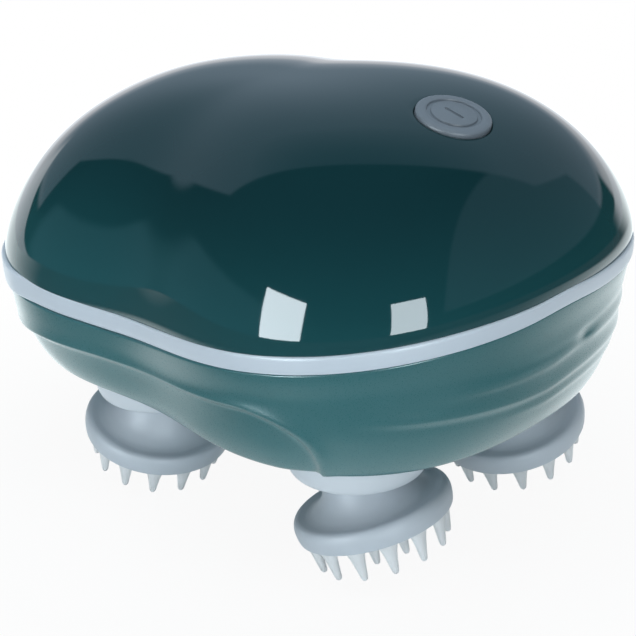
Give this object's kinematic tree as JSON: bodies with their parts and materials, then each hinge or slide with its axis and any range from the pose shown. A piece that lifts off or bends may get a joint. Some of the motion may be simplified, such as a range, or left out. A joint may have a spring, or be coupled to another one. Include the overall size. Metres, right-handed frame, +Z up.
{
  "type": "electric scalp massager",
  "caption": "Waisted domed hand-held scalp massager with a top power button, standing on leaning kneading heads with soft fingers, driven by a worm gearbox.",
  "frame": {"origin": "centre of the bounding box on the surface that the lowest finger tips stand on", "axes": "+Z up, +X along the length towards the larger lobe with the power button, +Y across the width towards the side with the charging socket"},
  "size_m": [0.1404, 0.1012, 0.0924],
  "materials": {
    "dome_gloss": "high gloss",
    "trim_satin": "satin",
    "shell_satin": "satin",
    "collar_plastic": "satin",
    "button_plastic": "satin",
    "seal_rubber": "matte",
    "dark_plastic": "moulded",
    "board_green": "solder mask",
    "steel": "turned",
    "cell_sleeve": "shrink sleeve",
    "magnet_grey": "sintered",
    "copper_winding": "enamelled wire",
    "brass": "turned",
    "acetal_white": "moulded",
    "acetal_grey": "moulded",
    "wire_red": "smooth",
    "wire_black": "smooth",
    "cup_plastic": "satin",
    "finger_silicone": "soft, slightly translucent"
  },
  "bodies": {
    "housing": {"top_cover": "dome_gloss", "trim_ring": "trim_satin", "lower_shell": "shell_satin", "button_seal": "seal_rubber", "tact_switch": "dark_plastic", "control_board": "board_green", "board_parts": "dark_plastic", "board_screws": "steel", "charge_jack": "dark_plastic", "battery_cell": "cell_sleeve", "battery_tray": "dark_plastic", "motor_can": "steel", "motor_end_cap": "dark_plastic", "motor_magnets": "magnet_grey", "motor_clamp": "dark_plastic", "gear_axles": "steel", "gearbox_base": "dark_plastic", "gearbox_cover": "dark_plastic", "gearbox_screws": "steel", "housing_screws": "steel", "red_wires": "wire_red", "black_wires": "wire_black", "shaft_bushes": "brass", "shaft_seals": "seal_rubber", "collar_front": "collar_plastic", "collar_right": "collar_plastic", "collar_left": "collar_plastic", "collar_back": "collar_plastic"},
    "power_button": {"power_button": "button_plastic"},
    "rotor": {"motor_shaft": "steel", "motor_armature": "copper_winding", "worm": "brass"},
    "compound_gear_a": {"compound_gear_a": "acetal_grey"},
    "compound_gear_b": {"compound_gear_b": "acetal_grey"},
    "crank_front": {"crank_front": "steel", "output_gear_front": "acetal_white"},
    "head_front": {"head_cup_front": "cup_plastic", "finger_pad_front": "finger_silicone", "head_screw_front": "steel"},
    "crank_right": {"crank_right": "steel", "output_gear_right": "acetal_white"},
    "head_right": {"head_cup_right": "cup_plastic", "finger_pad_right": "finger_silicone", "head_screw_right": "steel"},
    "crank_left": {"crank_left": "steel", "output_gear_left": "acetal_white"},
    "head_left": {"head_cup_left": "cup_plastic", "finger_pad_left": "finger_silicone", "head_screw_left": "steel"},
    "crank_back": {"crank_back": "steel", "output_gear_back": "acetal_white"},
    "head_back": {"head_cup_back": "cup_plastic", "finger_pad_back": "finger_silicone", "head_screw_back": "steel"}
  },
  "joints": [
    {"name": "front_crank_turn", "type": "hinge", "parent": "housing", "child": "crank_front", "pos_m": [0.0355, -0.0232, 0.03871], "axis": [0, 0, 1], "continuous": true},
    {"name": "right_crank_turn", "type": "hinge", "parent": "housing", "child": "crank_right", "pos_m": [0.0355, 0.0232, 0.03871], "axis": [0, 0, 1], "continuous": true},
    {"name": "left_crank_turn", "type": "hinge", "parent": "housing", "child": "crank_left", "pos_m": [-0.0225, -0.0232, 0.03871], "axis": [0, 0, 1], "continuous": true},
    {"name": "back_crank_turn", "type": "hinge", "parent": "housing", "child": "crank_back", "pos_m": [-0.0225, 0.0232, 0.03871], "axis": [0, 0, 1], "continuous": true},
    {"name": "front_head_turn", "type": "hinge", "parent": "crank_front", "child": "head_front", "pos_m": [0.0355, -0.0232, 0.02271], "axis": [-0.2533, -0.0799, 0.9641], "continuous": true},
    {"name": "right_head_turn", "type": "hinge", "parent": "crank_right", "child": "head_right", "pos_m": [0.0355, 0.0232, 0.02271], "axis": [0.0093, -0.2654, 0.9641], "continuous": true},
    {"name": "left_head_turn", "type": "hinge", "parent": "crank_left", "child": "head_left", "pos_m": [-0.0225, -0.0232, 0.02271], "axis": [0.2651, -0.0162, 0.9641], "continuous": true},
    {"name": "back_head_turn", "type": "hinge", "parent": "crank_back", "child": "head_back", "pos_m": [-0.0225, 0.0232, 0.02271], "axis": [-0.0908, -0.2495, 0.9641], "continuous": true},
    {"name": "gear_a_turn", "type": "hinge", "parent": "housing", "child": "compound_gear_a", "pos_m": [0.02468, 0, 0.04071], "axis": [0, 0, 1], "continuous": true},
    {"name": "gear_b_turn", "type": "hinge", "parent": "housing", "child": "compound_gear_b", "pos_m": [-0.01168, 0, 0.04071], "axis": [0, 0, 1], "continuous": true},
    {"name": "motor_turn", "type": "hinge", "parent": "housing", "child": "rotor", "pos_m": [0.0065, 0.012, 0.04621], "axis": [0, 1, 0], "continuous": true},
    {"name": "button_press", "type": "slide", "parent": "housing", "child": "power_button", "axis": [-0.2924, 0, -0.9563], "range_m": [0, 0.0008], "stiffness_N_per_m": 1500, "springref_m": -0.0003}
  ],
  "couplings": [
    {"joint": "right_crank_turn", "follows": "front_crank_turn", "ratio": 1},
    {"joint": "left_crank_turn", "follows": "front_crank_turn", "ratio": -1},
    {"joint": "back_crank_turn", "follows": "front_crank_turn", "ratio": -1},
    {"joint": "front_head_turn", "follows": "front_crank_turn", "ratio": -1},
    {"joint": "right_head_turn", "follows": "front_crank_turn", "ratio": -1},
    {"joint": "left_head_turn", "follows": "front_crank_turn", "ratio": 1},
    {"joint": "back_head_turn", "follows": "front_crank_turn", "ratio": 1},
    {"joint": "gear_a_turn", "follows": "front_crank_turn", "ratio": -1.6667},
    {"joint": "gear_b_turn", "follows": "front_crank_turn", "ratio": 1.6667},
    {"joint": "motor_turn", "follows": "front_crank_turn", "ratio": 58.333}
  ]
}
